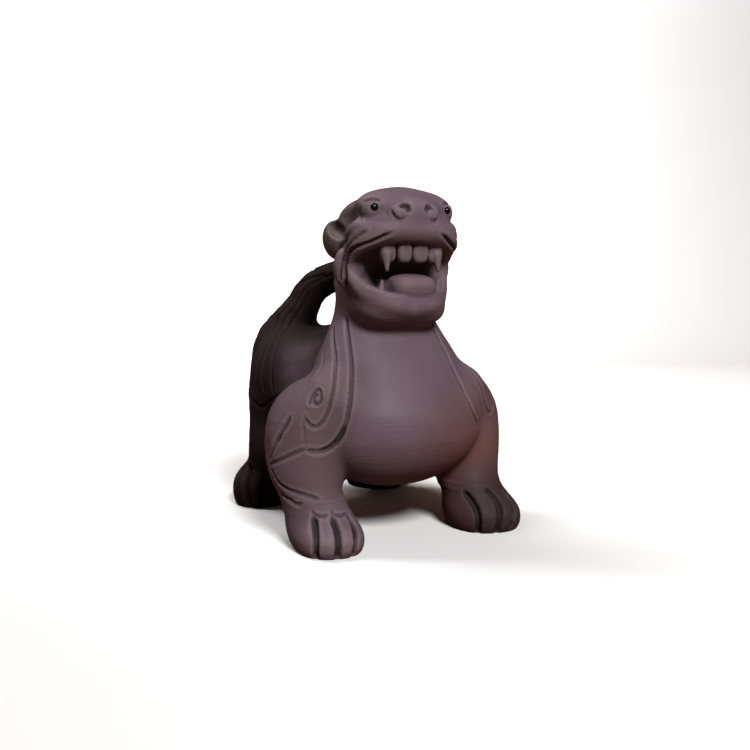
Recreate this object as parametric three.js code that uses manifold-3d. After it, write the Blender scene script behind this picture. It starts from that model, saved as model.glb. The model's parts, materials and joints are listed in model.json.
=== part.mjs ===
// Pixiu tea figure: a squatting winged beast of unglazed clay with its tail curled to its nape.
// Millimetres, +Z up. The beast looks along -Y and its own left is +X.
// The origin is on the table, under the middle of the figure's closing box.
import * as THREE from 'three';
import Module from 'manifold-3d';

// Driving dimensions
const FIGURE_HEIGHT = 90;
const EYE_BEAD_DIAMETER = 2.2;
const EYE_BEAD_CLEARANCE = 0.3;

// The pose and the carving are set out in ninetieths of the figure's height.
const CROWN = 90;
const CARVING_PITCH = 0.9;
const FIGURE_TRIANGLES = 8700;
const LEAN = [[0, 2.5], [14, 2], [30, 2.4], [46, 1.8], [66, 0.2]];

const CLAY = { color: 0x6d5a5c, roughness: 0.78, metalness: 0.0 };
const BEAD = { color: 0x0b0a0c, roughness: 0.12, metalness: 0.0 };

const length3 = (x, y, z) => Math.sqrt(x * x + y * y + z * z);

// Forms
// Each form is a distance function with a centre and a reach, so that far ones are passed over.

// An egg shape, or a rounder or boxier one by its power, turned about X and then about Z.
function lump(centre, radii, power = 2, tilt = 0, turn = 0) {
  const [cx, cy, cz] = centre;
  const [rx, ry, rz] = radii;
  const cosTilt = Math.cos(tilt);
  const sinTilt = Math.sin(tilt);
  const cosTurn = Math.cos(turn);
  const sinTurn = Math.sin(turn);
  const distance = (x, y, z) => {
    const dx = x - cx;
    const dy = y - cy;
    const dz = z - cz;
    const u = dx * cosTurn + dy * sinTurn;
    const v = dy * cosTurn - dx * sinTurn;
    const ax = Math.abs(u) / rx;
    const ay = Math.abs(v * cosTilt + dz * sinTilt) / ry;
    const az = Math.abs(dz * cosTilt - v * sinTilt) / rz;
    const px = ax ** (power - 1);
    const py = ay ** (power - 1);
    const pz = az ** (power - 1);
    const sum = px * ax + py * ay + pz * az;
    if (sum < 1e-9) return -Math.min(rx, ry, rz);
    const level = sum ** (1 / power);
    const slope = (sum ** (1 / power - 1)) * length3(px / rx, py / ry, pz / rz);
    return (level - 1) / slope;
  };
  return { distance, centre, reach: Math.hypot(rx, ry, rz) };
}

// The ball around a list of points, widened by a margin.
function ballAround(points, margin) {
  const box = new THREE.Box3().setFromPoints(points);
  const centre = box.getCenter(new THREE.Vector3());
  const reach = Math.max(...points.map((point) => point.distanceTo(centre))) + margin;
  return { centre: centre.toArray(), reach };
}

// A limb: round links between points given as [x, y, z, radius].
function limb(points) {
  const links = points.slice(1).map((end, index) => ({ start: points[index], end }));
  const distance = (x, y, z) => {
    let nearest = Infinity;
    for (const { start, end } of links) {
      const bx = end[0] - start[0];
      const by = end[1] - start[1];
      const bz = end[2] - start[2];
      const px = x - start[0];
      const py = y - start[1];
      const pz = z - start[2];
      const along = (px * bx + py * by + pz * bz) / (bx * bx + by * by + bz * bz);
      const share = Math.min(1, Math.max(0, along));
      const gap = length3(px - bx * share, py - by * share, pz - bz * share);
      nearest = Math.min(nearest, gap - start[3] - (end[3] - start[3]) * share);
    }
    return nearest;
  };
  const spine = points.map((point) => new THREE.Vector3(...point));
  return { distance, ...ballAround(spine, Math.max(...points.map((point) => point[3]))) };
}

// A limb whose path and thickness flow smoothly through its points.
function flow(points, links) {
  const path = new THREE.CatmullRomCurve3(points.map(([x, y, z]) => new THREE.Vector3(x, y, z)));
  const girth = new THREE.CatmullRomCurve3(points.map((point) => new THREE.Vector3(point[3], 0, 0)));
  return limb(Array.from({ length: links + 1 }, (_, index) => [
    ...path.getPoint(index / links).toArray(), girth.getPoint(index / links).x]));
}

// A standing trunk: stations are [z, y of the middle, half width, half depth] from below upwards.
function trunk(stations, power) {
  const last = stations.length - 1;
  const distance = (x, y, z) => {
    let index = 1;
    while (index < last && z > stations[index][0]) index += 1;
    const low = stations[index - 1];
    const high = stations[index];
    const share = Math.min(1, Math.max(0, (z - low[0]) / (high[0] - low[0])));
    const [middle, width, depth] = [1, 2, 3].map((column) => low[column] + (high[column] - low[column]) * share);
    const ax = Math.abs(x) / width;
    const ay = Math.abs(y - middle) / depth;
    const px = ax ** (power - 1);
    const py = ay ** (power - 1);
    const sum = px * ax + py * ay;
    const level = sum ** (1 / power);
    const side = sum < 1e-9 ? -Math.min(width, depth)
      : (level - 1) / ((sum ** (1 / power - 1)) * length3(px / width, py / depth, 0));
    const flare = (high[2] - low[2]) / (high[0] - low[0]);
    const wall = side / Math.hypot(1, flare);
    return Math.max(wall, stations[0][0] - z, z - stations[last][0]);
  };
  const spine = stations.map(([z, y]) => new THREE.Vector3(0, y, z));
  return { distance, ...ballAround(spine, Math.max(...stations.map((s) => Math.max(s[2], s[3]))) * 1.3) };
}

// The order of the work: each step adds clay or cuts it away, with a soft blend.
const steps = [];
// A step is mirrored to both sides of the body, unless it is single.
const add = (form, blend, single = false) => steps.push({ ...form, blend, single, cuts: false });
const cut = (form, blend, single = false) => steps.push({ ...form, blend, single, cuts: true });

// The steps that can touch a ball in space.
function stepsNear([x, y, z], margin) {
  const place = x - leanAt(z);
  return steps.filter(({ centre, reach, blend, single }) => {
    const side = single ? place : Math.abs(place);
    const away = Math.hypot(side - centre[0], y - centre[1], z - centre[2]);
    return away < reach + blend + margin;
  });
}

// The body bulges a little to its left of the head and the paws: stations are [height, shift].
function leanAt(z) {
  let index = 1;
  while (index < LEAN.length - 1 && z > LEAN[index][0]) index += 1;
  const [low, high] = [LEAN[index - 1], LEAN[index]];
  const share = Math.min(1, Math.max(0, (z - low[0]) / (high[0] - low[0])));
  return low[1] + (high[1] - low[1]) * share * share * (3 - 2 * share);
}

function field(x, y, z, chosen = steps) {
  const place = x - leanAt(z);
  let clay = 1e3;
  for (let index = 0; index < chosen.length; index += 1) {
    const { centre, reach, distance, blend, cuts, single } = chosen[index];
    const side = single ? place : Math.abs(place);
    const dx = side - centre[0];
    const dy = y - centre[1];
    const dz = z - centre[2];
    const room = reach + blend + 2 + Math.max(0, cuts ? -clay : clay);
    if (dx * dx + dy * dy + dz * dz > room * room) continue;
    const found = distance(side, y, z);
    const other = cuts ? -found : found;
    const spread = Math.max(blend, 1e-4);
    const overlap = Math.max(0, spread - Math.abs(clay - other)) / spread;
    const fillet = overlap * overlap * spread / 4;
    clay = cuts ? Math.max(clay, other) + fillet : Math.min(clay, other) - fillet;
  }
  return clay;
}

// Belly, chest and neck in one pear, then barrel and thighs
const BELLY = { z: 28, y: -10, halfWidth: 24.3, halfDepth: 19.8, drop: 15.8 };
const pear = [1.5, 1.29, 1.07, 0.86, 0.64, 0.43, 0.21, 0].map((angle) => [BELLY.z - BELLY.drop * Math.sin(angle),
  BELLY.y, BELLY.halfWidth * Math.cos(angle), BELLY.halfDepth * Math.cos(angle)]);
pear.push([33, -9.6, 23.9, 18.9], [38, -9, 22.6, 16.8], [45, -8.4, 20.4, 13.4], [52, -7.6, 16.7, 10.8],
  [58, -7.4, 13.6, 9.8], [65, -7, 11.8, 9.6]);
add(trunk(pear, 2.1), 0);
add(lump([0, 14, 35.5], [19, 30, 18.9], 2.4), 5);
add(lump([13.8, 22.5, 37], [13.4, 18.5, 16]), 4);

// Arms and hind legs. The right elbow stands out further than the left one.
add(flow([[18.6, -12.6, 36, 8.2], [22.4, -7.4, 29, 11.1], [23.9, -9.6, 21, 9], [24.2, -14, 13.5, 6],
  [23.2, -17, 7, 6.4]], 16), 3);
add(flow([[-23, -8, 28, 10], [-25, -9, 21, 9], [-25, -11.6, 14, 7.4], [-25, -13.2, 7, 7.8]], 12), 3, true);
add(flow([[22, -10, 22, 8.6], [21.4, -13.8, 13, 7.4], [21.2, -16.6, 7, 7.6]], 8), 3, true);
add(flow([[17, 27, 30, 10], [20.4, 27, 18, 7], [18.8, 33, 8, 6.6]], 8), 4);

// Paws like mittens with flat soles: x, y, turn, half length, half width and height
const PAWS = [[-23.2, -17.6, -0.2, 11.8, 9.4, 8.6], [23.5, -18.4, -0.2, 10.8, 9.9, 9.6],
  [-21.2, 33.6, -0.8, 10.8, 8.4, 12.2], [18.6, 37, 0.5, 10, 7.8, 11]];
for (const [x, y, turn, long, wide, high] of PAWS) {
  add(lump([x, y, high / 3], [wide, long, high * 2 / 3], 2.3, 0, turn), 3, true);
}

// Tail: leaves the rump, swings over the right haunch and curls up to a tuft behind the nape
const TAIL = [[0, 42, 34, 8.5], [-8.5, 41.5, 40.5, 8.2], [-13.8, 34.8, 47.6, 7.4], [-11.6, 29.4, 54.6, 5.8],
  [-8.4, 28.5, 59, 4.9], [-5.8, 27, 64, 4.6], [-2.6, 23.8, 67, 4.5], [0, 18, 68.8, 4.2]];
add(lump([12, 33, 44], [9.5, 13, 8.5]), 6);
add(flow(TAIL, 16), 4, true);
add(limb([[0, 2, 71, 3.9], [0, 18, 69.8, 3]]), 1);

// Head: skull, jaw, crown, brow and muzzle
add(lump([0, -3.4, 67.5], [10.8, 8.8, 9], 2.2), 3);
add(lump([0, -13.6, 71], [12.6, 11.2, 15.6], 2.5), 3);
add(lump([0, -13.6, 61.8], [13.4, 10.2, 7.4], 3), 2);
add(lump([0, -17.4, 82.4], [12.2, 8.8, 7.4]), 2.5);
add(lump([5.6, -10.5, 80.8], [7.8, 7.2, 6.5]), 3);
add(lump([6.8, -19.4, 84.6], [6, 4.7, 3.5]), 2);
add(lump([0, -18, 78.6], [15, 8.6, 4.6], 2.5), 1.6);
cut(lump([14.2, -14.6, 82], [2.6, 4.2, 3]), 2);

// Ears: a rolled leaf with a cup in its upper half and a lobe below
add(lump([12.6, -7, 76.8], [2.7, 6.2, 4.9], 2, 0.45, -0.12), 1.2);
cut(lump([13.9, -9.6, 79.2], [1.7, 4.2, 1.9], 2, 0.45, -0.12), 0.8);
cut(lump([14.6, -12.2, 74.6], [1.2, 1.6, 3], 2, 0.5, -0.12), 0.6);

// Mouth: a deep hollow with shallow corners and a rolled lip above and below
cut(lump([0, -22.5, 69], [10.6, 11, 6.6], 2.3), 1);
cut(lump([0, -22.8, 69.4], [15, 9.6, 5.8], 2.4), 0.8);
add(flow([[0, -24.4, 78.9, 2.6], [6, -23.9, 78.5, 2.7], [11.6, -21, 76.5, 2.8], [13.6, -17.6, 73.4, 2],
  [14.5, -15.6, 70, 1.1]], 10), 1);
add(flow([[0, -22.2, 59.7, 2.6], [6, -21.6, 60.8, 2.6], [10.8, -18.8, 63.6, 2.2], [13.4, -16.6, 67, 1.6],
  [14.5, -15.6, 70, 1.1]], 10), 1.2);
add(lump([12.6, -14.4, 69.6], [4.4, 3.4, 5.6]), 1);

// Tongue, teeth and fangs
add(lump([1, -20.6, 65.4], [7.3, 4.4, 2.9], 2.5), 0.5, true);
add(lump([0, -15, 64], [6.6, 8, 3.4]), 1);
for (const side of [2.2, 6.6]) add(lump([side, -22.9 + side * 0.14, 73.8], [1.95, 1.5, 3], 3.2), 0.15);
add(limb([[7.6, -22.4, 72.6, 1.3], [7.8, -23.2, 68.8, 0.4]]), 0.3);
add(limb([[7.2, -22.2, 62.6, 1.5], [7, -23, 66.2, 0.45]]), 0.3);

// Nose with its two wings, and the lids
add(lump([0, -24, 83], [4.6, 2.8, 3.4], 2.3), 1.5);
add(lump([4.6, -24.4, 82.6], [2.4, 2.2, 2.3]), 0.8);
cut(lump([3.1, -26.6, 84], [1.4, 2.2, 0.9], 2, 0, 0.4), 0.3);
add(lump([9.5, -21.1, 83.4], [2.9, 2.6, 2.6]), 0.8);

// Carved lines
// A round-bottomed groove along a curve that is laid on the finished surface, on both sides or on one.
const GROOVE_STEP = 2.4;
const WIDE_LINE = [1.9, 0.9];
const LINE = [1.5, 0.65];
const FINE_LINE = [1.3, 0.5];
const lines = [];
function groove(points, [width, depth], single = false) {
  const curve = new THREE.CatmullRomCurve3(points.map((point) => new THREE.Vector3(...point)));
  const count = Math.max(4, Math.round(curve.getLength() / GROOVE_STEP));
  const radius = (width * width / 4 + depth * depth) / (2 * depth);
  const spine = curve.getSpacedPoints(count).map((point) => {
    let place = [point.x + leanAt(point.z), point.y, point.z];
    for (let pass = 0; pass < 5; pass += 1) place = settle(place, 2);
    const out = slopeAt(place, field(...place));
    const [x, y, z] = place.map((value, axis) => value + out[axis] * (radius - depth));
    return [x - leanAt(z), y, z, radius];
  });
  lines.push({ ...limb(spine), single });
}

// Chest panels: the edge ends in a tip at the elbow on the right, and runs down behind the arm on the left
groove([[-11.3, -14.7, 57], [-13.4, -15.1, 50.7], [-14.8, -16.9, 46.6], [-16.2, -19.4, 42], [-18.2, -21.4, 36.7],
  [-19.5, -21.5, 33.8], [-20.5, -20.9, 30.6], [-21.6, -19.7, 27.4], [-23.8, -18.7, 25], [-26.2, -18.3, 24.5],
  [-28.5, -17.4, 25.4]], WIDE_LINE, true);
groove([[10.3, -14.6, 56.6], [12.1, -17.9, 47.5], [13.5, -20.5, 42], [14.8, -22.8, 36.8], [16.6, -23.8, 31.8],
  [19.6, -21.6, 27.2], [22.4, -19.4, 25.2]], WIDE_LINE, true);
groove([[13.6, -10.3, 57], [15.6, -12.3, 51.4], [18.2, -15.6, 44.9], [21.4, -19.5, 39.4], [22.7, -19.7, 36.4],
  [24.2, -18.9, 32.8], [26, -18.2, 31], [27.4, -17.3, 32.8]], LINE);

// A curl in the right panel, drawn as a turn and a half
const CURL = { x: -25.4, y: -17.2, z: 37.4, radius: 2.4, turns: 1.4 };
groove(Array.from({ length: 10 }, (_, n) => {
  const angle = 1.2 + CURL.turns * 2 * Math.PI * n / 9;
  const radius = CURL.radius * (1 - n / 13);
  return [CURL.x + 0.7 * radius * Math.cos(angle), CURL.y, CURL.z + radius * Math.sin(angle)];
}), FINE_LINE, true);

// Muscle lines of the upper arm and curls of the forearm
groove([[31.9, -12.9, 31.5], [32.7, -12.3, 29.8], [33.3, -11.6, 28.2], [33.9, -10.7, 26.1], [34.2, -8, 24]], LINE);
groove([[28.5, -17.4, 25.4], [29.9, -16.6, 24.7], [31.1, -15.7, 24.1], [32.6, -14.1, 23.2], [34, -10, 21.4]], LINE);
groove([[33.5, -11, 19.8], [32.6, -13.5, 17.4], [30.8, -16.4, 15.4], [28.9, -18.8, 14], [26, -20.8, 13.2]], LINE);
groove([[32, -11, 15], [31.3, -13, 12.4], [30.6, -15.5, 11.4], [29.8, -17.7, 12]], FINE_LINE);

// Folds of the cheek, from the nose round the mouth corner and down the jaw
groove([[5.3, -26.7, 79.5], [9.5, -25.5, 77], [13.4, -22.4, 74.9], [14.9, -18.2, 72.4], [15, -16.8, 70],
  [14.4, -14.2, 67], [13.4, -12.9, 63.5]], WIDE_LINE);
groove([[11.4, -24.6, 78], [13.7, -22.5, 77], [14.9, -19.3, 75.4], [14.2, -14.8, 73], [13.6, -12.4, 69],
  [12.9, -10.4, 64.6]], LINE);

// Hair: strands from the lower edge of each haunch, on the right one up into the tail
const STRANDS = 8;
for (const side of [-1, 1]) {
  for (let strand = 0; strand < STRANDS; strand += 1) {
    const back = strand / (STRANDS - 1);
    const bulge = Math.sin(3 * back);
    const path = [[side * (24.8 + 1.8 * bulge), 13 + 26 * back, 36 - 2 * bulge],
      [side * (21.6 + 3 * bulge), 16.3 + 22 * back, 45]];
    if (side === 1) path.push([14, 24 + 16 * back, 50]);
    const around = 2.8 * back - 1.1;
    for (const [x, y, z, girth] of side === 1 ? [] : TAIL.slice(3, strand % 2 ? 7 : 5)) {
      path.push([x - girth * Math.cos(around), y + girth * Math.sin(around), z]);
    }
    groove(path, LINE, true);
  }
}
groove([[26.6, 34, 37], [27, 28, 34.6], [26.7, 23.1, 31.9], [26, 20.4, 30.9], [25, 15.5, 33.2], [22.6, 9, 36.5],
  [20, 4, 39]], WIDE_LINE);

// Curled edge of each nostril, and the crease of each brow
groove([-1.3, -0.6, 0.1, 0.8, 1.4, 2.1, 2.8].map((turn) => [4.6 - 2.4 * Math.cos(turn), -26.4 + 0.1 * turn,
  82.7 - 2.3 * Math.sin(turn)]), FINE_LINE);
groove([[7.6, -24.3, 85.4], [9, -23.7, 85.8], [10.7, -22.7, 85.9], [12.6, -20.4, 85]], FINE_LINE);

// Toes: lines cut from each knuckle to the sole
const TOES = 4;
const TOE_LINE = [2, 1];
const TOES_ACROSS = 2.24;
for (const [x, y, turn, long, wide, high] of PAWS) {
  const spot = (side, ahead, z) => [x + Math.cos(turn) * side * wide + Math.sin(turn) * ahead * long,
    y + Math.sin(turn) * side * wide - Math.cos(turn) * ahead * long, z];
  for (let gap = 1; gap < TOES; gap += 1) {
    const side = (gap - TOES / 2) * TOES_ACROSS / TOES;
    groove([spot(side * 0.9, 0.55, high), spot(side, 0.85, high * 0.75), spot(side * 1.06, 1, high * 0.45),
      spot(side, 0.95, 0.5)], TOE_LINE, true);
  }
}
for (const line of lines) cut(line, 0.35, line.single);

// Meshing
const FARTHEST_MERGE = 2.5;
const EVENNESS = 2e-5;
const SHARPEST_TURN = 0.35;
const THINNEST_FACET = 0.04;

// The field is sampled block by block, and a block far from the surface takes one value throughout.
function skin(step, { min, max }) {
  const low = min.toArray();
  const high = max.toArray();
  const cells = 4;
  const counts = low.map((value, axis) => Math.ceil((high[axis] - value) / step) + 1);
  const [nx, ny, nz] = counts;
  const strides = [1, nx, nx * ny];
  const values = new Float32Array(nx * ny * nz);
  const halfBlock = cells * step / 2;
  const blockOf = (i, j, k) => [i, j, k].map((n) => Math.floor(n / cells)).join();
  const chosenIn = new Map();
  const nearness = halfBlock * Math.sqrt(3) * 1.7;
  for (let k = 0; k < nz; k += cells) {
    for (let j = 0; j < ny; j += cells) {
      for (let i = 0; i < nx; i += cells) {
        const middle = [i, j, k].map((n, axis) => low[axis] + n * step + halfBlock);
        const rough = field(...middle);
        const near = Math.abs(rough) < nearness;
        const chosen = near ? stepsNear(middle, nearness * 2 + 2) : steps;
        if (near) chosenIn.set(blockOf(i, j, k), chosen);
        for (let c = k; c < Math.min(nz, k + cells); c += 1) {
          for (let b = j; b < Math.min(ny, j + cells); b += 1) {
            for (let a = i; a < Math.min(nx, i + cells); a += 1) {
              values[a + b * nx + c * strides[2]] = near
                ? field(low[0] + a * step, low[1] + b * step, low[2] + c * step, chosen) : rough;
            }
          }
        }
      }
    }
  }
  mendCheckers(values, counts, strides);
  return net(values, counts, strides, step, low, (i, j, k) => chosenIn.get(blockOf(i, j, k)));
}

// Two corners of a cell face that touch only across it would pinch the skin, so clay fills them.
function mendCheckers(values, counts, strides) {
  let mended = true;
  while (mended) {
    mended = false;
    for (let axis = 0; axis < 3; axis += 1) {
      const s1 = strides[(axis + 1) % 3];
      const s2 = strides[(axis + 2) % 3];
      const end = values.length - s1 - s2;
      for (let at = 0; at < end; at += 1) {
        const a = values[at] < 0;
        if (a === (values[at + s1 + s2] < 0) && a !== (values[at + s1] < 0) && a !== (values[at + s2] < 0)) {
          values[a ? at + s1 : at] = -1e-3;
          mended = true;
        }
      }
    }
  }
}

// A cell that the surface crosses holds one vertex, and each crossed edge between cells one quad.
function net(values, counts, strides, step, low, chosenAt) {
  const [nx, ny, nz] = counts;
  const vertexOf = new Int32Array(values.length).fill(-1);
  const points = [];
  for (let k = 0; k < nz - 1; k += 1) {
    for (let j = 0; j < ny - 1; j += 1) {
      for (let i = 0; i < nx - 1; i += 1) {
        const at = i + j * nx + k * strides[2];
        const sum = [0, 0, 0];
        let crossings = 0;
        for (let axis = 0; axis < 3; axis += 1) {
          const other = [(axis + 1) % 3, (axis + 2) % 3];
          for (let corner = 0; corner < 4; corner += 1) {
            const offset = [0, 0, 0];
            offset[other[0]] = corner & 1;
            offset[other[1]] = corner >> 1;
            const start = at + offset[0] + offset[1] * strides[1] + offset[2] * strides[2];
            const v0 = values[start];
            const v1 = values[start + strides[axis]];
            if ((v0 < 0) !== (v1 < 0)) {
              offset[axis] = v0 / (v0 - v1);
              sum[0] += offset[0];
              sum[1] += offset[1];
              sum[2] += offset[2];
              crossings += 1;
            }
          }
        }
        if (crossings > 0) {
          vertexOf[at] = points.length;
          const cell = [i, j, k];
          const place = sum.map((value, axis) => low[axis] + (cell[axis] + value / crossings) * step);
          points.push(settle(place, step / 2, chosenAt(i, j, k)));
        }
      }
    }
  }
  const triangles = [];
  for (let k = 1; k < nz - 1; k += 1) {
    for (let j = 1; j < ny - 1; j += 1) {
      for (let i = 1; i < nx - 1; i += 1) {
        const at = i + j * nx + k * strides[2];
        for (let axis = 0; axis < 3; axis += 1) {
          const inside = values[at] < 0;
          if (inside !== (values[at + strides[axis]] < 0)) {
            const s1 = strides[(axis + 1) % 3];
            const s2 = strides[(axis + 2) % 3];
            const quad = [at, at - s1, at - s1 - s2, at - s2].map((cell) => vertexOf[cell]);
            if (!inside) quad.reverse();
            triangles.push([quad[0], quad[1], quad[2]], [quad[0], quad[2], quad[3]]);
          }
        }
      }
    }
  }
  return { points, triangles };
}

// The slope of the field, and a point moved along it onto the surface.
function slopeAt([x, y, z], here, chosen = steps) {
  const reach = 0.06;
  const gx = field(x + reach, y, z, chosen) - here;
  const gy = field(x, y + reach, z, chosen) - here;
  const gz = field(x, y, z + reach, chosen) - here;
  const length = Math.hypot(gx, gy, gz) || 1;
  return [gx / length, gy / length, gz / length];
}

function settle(point, limit, chosen = steps) {
  const here = field(point[0], point[1], point[2], chosen);
  const slope = slopeAt(point, here, chosen);
  const move = Math.min(limit, Math.max(-limit, here));
  return point.map((value, axis) => value - slope[axis] * move);
}

// A queue that hands out its cheapest item first.
class CheapestFirst {
  items = [];

  get size() {
    return this.items.length;
  }

  push(item) {
    const { items } = this;
    let at = items.length;
    items.push(item);
    while (at > 0) {
      const above = (at - 1) >> 1;
      if (items[above].cost <= item.cost) break;
      items[at] = items[above];
      at = above;
    }
    items[at] = item;
  }

  pop() {
    const { items } = this;
    const top = items[0];
    const item = items.pop();
    const count = items.length;
    if (count === 0) return top;
    let at = 0;
    for (;;) {
      let child = 2 * at + 1;
      if (child >= count) break;
      if (child + 1 < count && items[child + 1].cost < items[child].cost) child += 1;
      if (items[child].cost >= item.cost) break;
      items[at] = items[child];
      at = child;
    }
    items[at] = item;
    return top;
  }
}

// Facets are merged where the surface changes least, by the distance to the facets' own planes.
function thin(points, triangles, target) {
  const alive = triangles;
  const around = points.map(() => []);
  const quadrics = points.map(() => new Float64Array(10));
  const crossOf = (a, b, c) => {
    const ux = b[0] - a[0];
    const uy = b[1] - a[1];
    const uz = b[2] - a[2];
    const vx = c[0] - a[0];
    const vy = c[1] - a[1];
    const vz = c[2] - a[2];
    return [uy * vz - uz * vy, uz * vx - ux * vz, ux * vy - uy * vx];
  };
  const spanOf = (a, b) => length3(a[0] - b[0], a[1] - b[1], a[2] - b[2]);
  alive.forEach((triangle, index) => {
    const corner = points[triangle[0]];
    const [nx, ny, nz] = crossOf(corner, points[triangle[1]], points[triangle[2]]);
    const area = length3(nx, ny, nz) || 1e-12;
    const x = nx / area;
    const y = ny / area;
    const z = nz / area;
    const w = -(x * corner[0] + y * corner[1] + z * corner[2]);
    const plane = [x * x, x * y, x * z, x * w, y * y, y * z, y * w, z * z, z * w, w * w];
    for (const vertex of triangle) {
      around[vertex].push(index);
      for (let n = 0; n < 10; n += 1) quadrics[vertex][n] += plane[n] * area;
    }
  });
  const errorAt = (q, x, y, z) => q[0] * x * x + q[4] * y * y + q[7] * z * z + q[9]
    + 2 * (q[1] * x * y + q[2] * x * z + q[3] * x + q[5] * y * z + q[6] * y + q[8] * z);
  const stamp = new Int32Array(points.length);
  const queue = new CheapestFirst();
  const sum = new Float64Array(10);
  const offer = (u, v) => {
    for (let n = 0; n < 10; n += 1) sum[n] = quadrics[u][n] + quadrics[v][n];
    const [a, b] = [points[u], points[v]];
    let place = [(a[0] + b[0]) / 2, (a[1] + b[1]) / 2, (a[2] + b[2]) / 2];
    const [xx, xy, xz, xw, yy, yz, yw, zz, zw] = sum;
    const cx = yy * zz - yz * yz;
    const cy = xz * yz - xy * zz;
    const cz = xy * yz - xz * yy;
    const det = xx * cx + xy * cy + xz * cz;
    if (Math.abs(det) > 1e-7) {
      const best = [
        -(xw * cx + yw * cy + zw * cz) / det,
        -(xw * cy + yw * (xx * zz - xz * xz) + zw * (xy * xz - xx * yz)) / det,
        -(xw * cz + yw * (xy * xz - xx * yz) + zw * (xx * yy - xy * xy)) / det];
      if (spanOf(best, place) < FARTHEST_MERGE) place = best;
    }
    let cost = errorAt(sum, ...place);
    for (const end of [a, b]) {
      const atEnd = errorAt(sum, ...end);
      if (atEnd < cost) {
        cost = atEnd;
        place = end;
      }
    }
    queue.push({ cost: Math.max(0, cost) + EVENNESS * spanOf(a, b), u, v, place, su: stamp[u], sv: stamp[v] });
  };
  const ring = (vertex) => {
    const found = [];
    for (const index of around[vertex]) {
      for (const corner of alive[index]) if (corner !== vertex && !found.includes(corner)) found.push(corner);
    }
    return found;
  };
  const folds = (index, u, v, place) => {
    const [a, b, c] = alive[index];
    const before = crossOf(points[a], points[b], points[c]);
    const moved = [a, b, c].map((corner) => (corner === u || corner === v ? place : points[corner]));
    const after = crossOf(...moved);
    const size = length3(...after);
    const longest = Math.max(spanOf(moved[0], moved[1]), spanOf(moved[1], moved[2]), spanOf(moved[2], moved[0]));
    const dot = before[0] * after[0] + before[1] * after[1] + before[2] * after[2];
    return dot < SHARPEST_TURN * length3(...before) * size || size < THINNEST_FACET * longest * longest;
  };
  points.forEach((_, u) => {
    for (const v of ring(u)) if (v > u) offer(u, v);
  });
  let left = alive.length;
  while (left > target && queue.size > 0) {
    const { u, v, place, su, sv } = queue.pop();
    if (su !== stamp[u] || sv !== stamp[v]) continue;
    const ringV = ring(v);
    if (ring(u).filter((corner) => ringV.includes(corner)).length !== 2) continue;
    const gone = around[u].filter((index) => alive[index].includes(v));
    const kept = [...around[u], ...around[v]].filter((index) => !gone.includes(index));
    if (kept.some((index) => folds(index, u, v, place))) continue;
    points[u] = place;
    for (let n = 0; n < 10; n += 1) quadrics[u][n] += quadrics[v][n];
    for (const index of gone) {
      for (const corner of alive[index]) around[corner] = around[corner].filter((other) => other !== index);
      alive[index] = null;
    }
    left -= gone.length;
    for (const index of around[v]) alive[index] = alive[index].map((corner) => (corner === v ? u : corner));
    around[u] = around[u].concat(around[v]);
    around[v] = [];
    stamp[u] += 1;
    stamp[v] += 1;
    for (const other of ring(u)) offer(u, other);
  }
  return { points, triangles: alive.filter((triangle) => triangle !== null) };
}

// Joining and cutting
const wasm = await Module();
wasm.setup();

function solidOf(points, triangles) {
  const used = new Map();
  const vertProperties = [];
  const triVerts = [];
  for (const corner of triangles.flat()) {
    if (!used.has(corner)) {
      used.set(corner, used.size);
      vertProperties.push(...points[corner]);
    }
    triVerts.push(used.get(corner));
  }
  return new wasm.Manifold(new wasm.Mesh({
    numProp: 3,
    vertProperties: new Float32Array(vertProperties),
    triVerts: new Uint32Array(triVerts),
  }));
}

function solidFromGeometry(geometry) {
  const places = geometry.getAttribute('position');
  const points = [];
  const known = new Map();
  const triangles = [];
  const order = geometry.index ? [...geometry.index.array] : [...Array(places.count).keys()];
  const corners = order.map((index) => {
    const point = [places.getX(index), places.getY(index), places.getZ(index)];
    const key = point.map((value) => Math.round(value * 1e4)).join();
    if (!known.has(key)) {
      known.set(key, points.length);
      points.push(point);
    }
    return known.get(key);
  });
  for (let at = 0; at < corners.length; at += 3) {
    const triangle = corners.slice(at, at + 3);
    if (new Set(triangle).size === 3) triangles.push(triangle);
  }
  return solidOf(points, triangles);
}

function meshOf(solid, name, finish) {
  const { vertProperties, triVerts, numProp } = solid.getMesh();
  const geometry = new THREE.BufferGeometry();
  const places = new Float32Array(vertProperties.length / numProp * 3);
  for (let at = 0; at < places.length; at += 3) places.set(vertProperties.slice(at / 3 * numProp, at / 3 * numProp + 3), at);
  geometry.setAttribute('position', new THREE.BufferAttribute(places, 3));
  geometry.setIndex([...triVerts]);
  const mesh = new THREE.Mesh(geometry, new THREE.MeshStandardMaterial(finish));
  mesh.name = name;
  return mesh;
}

// Eye beads, set a third into the clay under the brows
const beadRadius = EYE_BEAD_DIAMETER / 2;
const scale = FIGURE_HEIGHT / CROWN;
let eye = [10.2, -23.5, 83.8];
for (let pass = 0; pass < 6; pass += 1) eye = settle(eye, 2);
const eyeSlope = slopeAt(eye, field(...eye));
const beadCentre = eye.map((value, axis) => value * scale - eyeSlope[axis] * beadRadius * 0.3);

const room = new THREE.Box3();
for (const { centre, reach, cuts } of steps) {
  for (const side of cuts ? [] : [-1, 1]) {
    const middle = new THREE.Vector3(side * centre[0], centre[1], centre[2]);
    room.union(new THREE.Box3(middle.clone().subScalar(reach), middle.addScalar(reach)));
  }
}
const whole = skin(CARVING_PITCH, room);
const facets = thin(whole.points, whole.triangles, FIGURE_TRIANGLES);
let figure = solidOf(facets.points.map((point) => point.map((value) => value * scale)), facets.triangles);

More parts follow.
